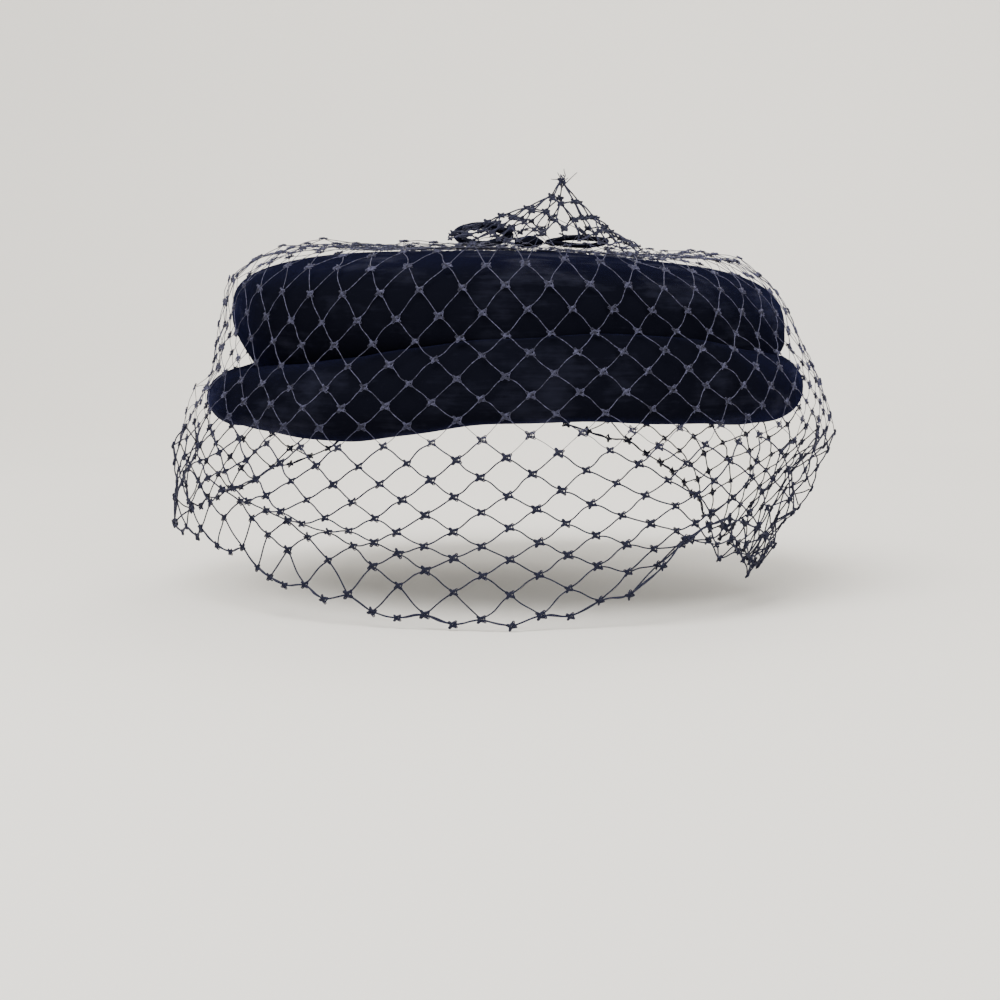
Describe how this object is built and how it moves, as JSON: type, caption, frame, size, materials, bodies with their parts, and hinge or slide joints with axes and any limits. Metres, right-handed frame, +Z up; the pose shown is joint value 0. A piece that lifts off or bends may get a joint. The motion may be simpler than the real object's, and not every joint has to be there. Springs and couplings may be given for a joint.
{
  "type": "pillbox hat",
  "caption": "Velvet pillbox hat with a rounded flat-topped crown, an upturned cuff, a small ribbon bow on top and a stiff diamond-net veil over all of it.",
  "frame": {"origin": "centre of the head opening, in the plane of the crown's foot, where a head holds the hat", "axes": "+Z up through the crown, -Y the front, +X the wearer's left"},
  "size_m": [0.2262, 0.2341, 0.1324],
  "materials": {
    "velvet": "matte velvet pile, nearly black navy with a blue sheen at grazing angles",
    "ribbon_velvet": "narrow velvet ribbon",
    "net": "stiffened navy millinery net, open diamonds with a woven knot at each crossing"
  },
  "bodies": {
    "root": {"crown": "velvet", "cuff": "velvet", "bow_loop_left": "ribbon_velvet", "bow_loop_right": "ribbon_velvet", "bow_knot": "ribbon_velvet", "veil": "net"}
  },
  "joints": []
}
